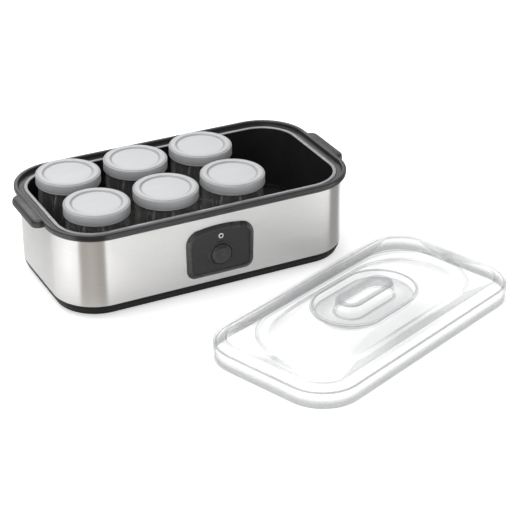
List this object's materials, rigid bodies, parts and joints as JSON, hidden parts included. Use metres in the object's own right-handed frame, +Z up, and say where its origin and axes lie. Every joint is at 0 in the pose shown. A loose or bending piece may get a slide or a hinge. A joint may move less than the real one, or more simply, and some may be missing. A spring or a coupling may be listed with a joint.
{
  "type": "yogurt maker",
  "caption": "Low rounded-oblong yogurt maker: steel sleeve, dark rim with end handles, tub of lidded glass jars, front button panel, and a clear cover beside it.",
  "frame": {"origin": "middle of the whole set's footprint, on the plane that the feet and the cover's edge stand on", "axes": "+X along the housing's length, +Y from the control panel to the back, +Z up"},
  "size_m": [0.4777, 0.4597, 0.1148],
  "materials": {
    "steel": "brushed, bright",
    "rim_plastic": "semi-gloss",
    "tub_plastic": "satin",
    "screw_steel": "zinc plated",
    "aluminium": "rolled",
    "silicone": "matt",
    "thermostat_metal": "satin",
    "fuse_ceramic": "smooth",
    "block_nylon": "matt",
    "wire_insulation": "matt",
    "rubber": "matt",
    "panel_plastic": "satin",
    "button_plastic": "satin",
    "switch_plastic": "matt",
    "board": "lacquered",
    "white_plastic": "translucent",
    "lamp_glass": "clear",
    "jar_glass": "clear",
    "lid_plastic": "translucent",
    "clear_plastic": "clear, polished"
  },
  "bodies": {
    "housing": {"top_rim": "rim_plastic", "steel_sleeve": "steel", "inner_tub": "tub_plastic", "base_pan": "tub_plastic", "foot_1": "rubber", "foot_2": "rubber", "foot_3": "rubber", "foot_4": "rubber", "base_screws": "screw_steel", "heater_plate": "aluminium", "heating_cord": "silicone", "thermostat": "thermostat_metal", "thermal_fuse": "fuse_ceramic", "terminal_block": "block_nylon", "lead_wires": "wire_insulation", "cord_gland": "rubber", "panel_bezel": "panel_plastic", "panel_face": "panel_plastic", "button_spring": "screw_steel", "power_switch": "switch_plastic", "switch_board": "board", "board_screws": "screw_steel", "pilot_ring": "white_plastic", "pilot_lamp": "lamp_glass"},
    "button": {"power_button": "button_plastic"},
    "jar_1_body": {"jar_1": "jar_glass"},
    "jar_2_body": {"jar_2": "jar_glass"},
    "jar_3_body": {"jar_3": "jar_glass"},
    "jar_4_body": {"jar_4": "jar_glass"},
    "jar_5_body": {"jar_5": "jar_glass"},
    "jar_6_body": {"jar_6": "jar_glass"},
    "jar_lid_1_body": {"jar_lid_1": "lid_plastic"},
    "jar_lid_2_body": {"jar_lid_2": "lid_plastic"},
    "jar_lid_3_body": {"jar_lid_3": "lid_plastic"},
    "jar_lid_4_body": {"jar_lid_4": "lid_plastic"},
    "jar_lid_5_body": {"jar_lid_5": "lid_plastic"},
    "jar_lid_6_body": {"jar_lid_6": "lid_plastic"},
    "cover": {"clear_cover": "clear_plastic"}
  },
  "joints": [
    {"name": "button_press", "type": "slide", "parent": "housing", "child": "button", "axis": [0, 1, 0], "range_m": [0, 0.003], "stiffness_N_per_m": 700, "springref_m": -0.0005, "deforming": ["button_spring"]},
    {"name": "jar_1_lift", "type": "slide", "parent": "housing", "child": "jar_1_body", "axis": [0, 0, 1], "range_m": [0, 0.1]},
    {"name": "jar_2_lift", "type": "slide", "parent": "housing", "child": "jar_2_body", "axis": [0, 0, 1], "range_m": [0, 0.1]},
    {"name": "jar_3_lift", "type": "slide", "parent": "housing", "child": "jar_3_body", "axis": [0, 0, 1], "range_m": [0, 0.1]},
    {"name": "jar_4_lift", "type": "slide", "parent": "housing", "child": "jar_4_body", "axis": [0, 0, 1], "range_m": [0, 0.1]},
    {"name": "jar_5_lift", "type": "slide", "parent": "housing", "child": "jar_5_body", "axis": [0, 0, 1], "range_m": [0, 0.1]},
    {"name": "jar_6_lift", "type": "slide", "parent": "housing", "child": "jar_6_body", "axis": [0, 0, 1], "range_m": [0, 0.1]},
    {"name": "jar_lid_1_pull", "type": "slide", "parent": "jar_1_body", "child": "jar_lid_1_body", "axis": [0, 0, 1], "range_m": [0, 0.02]},
    {"name": "jar_lid_2_pull", "type": "slide", "parent": "jar_2_body", "child": "jar_lid_2_body", "axis": [0, 0, 1], "range_m": [0, 0.02]},
    {"name": "jar_lid_3_pull", "type": "slide", "parent": "jar_3_body", "child": "jar_lid_3_body", "axis": [0, 0, 1], "range_m": [0, 0.02]},
    {"name": "jar_lid_4_pull", "type": "slide", "parent": "jar_4_body", "child": "jar_lid_4_body", "axis": [0, 0, 1], "range_m": [0, 0.02]},
    {"name": "jar_lid_5_pull", "type": "slide", "parent": "jar_5_body", "child": "jar_lid_5_body", "axis": [0, 0, 1], "range_m": [0, 0.02]},
    {"name": "jar_lid_6_pull", "type": "slide", "parent": "jar_6_body", "child": "jar_lid_6_body", "axis": [0, 0, 1], "range_m": [0, 0.02]},
    {"name": "cover_lift", "type": "slide", "parent": "housing", "child": "cover", "axis": [0, 0, 1], "range_m": [0, 0.15]}
  ]
}
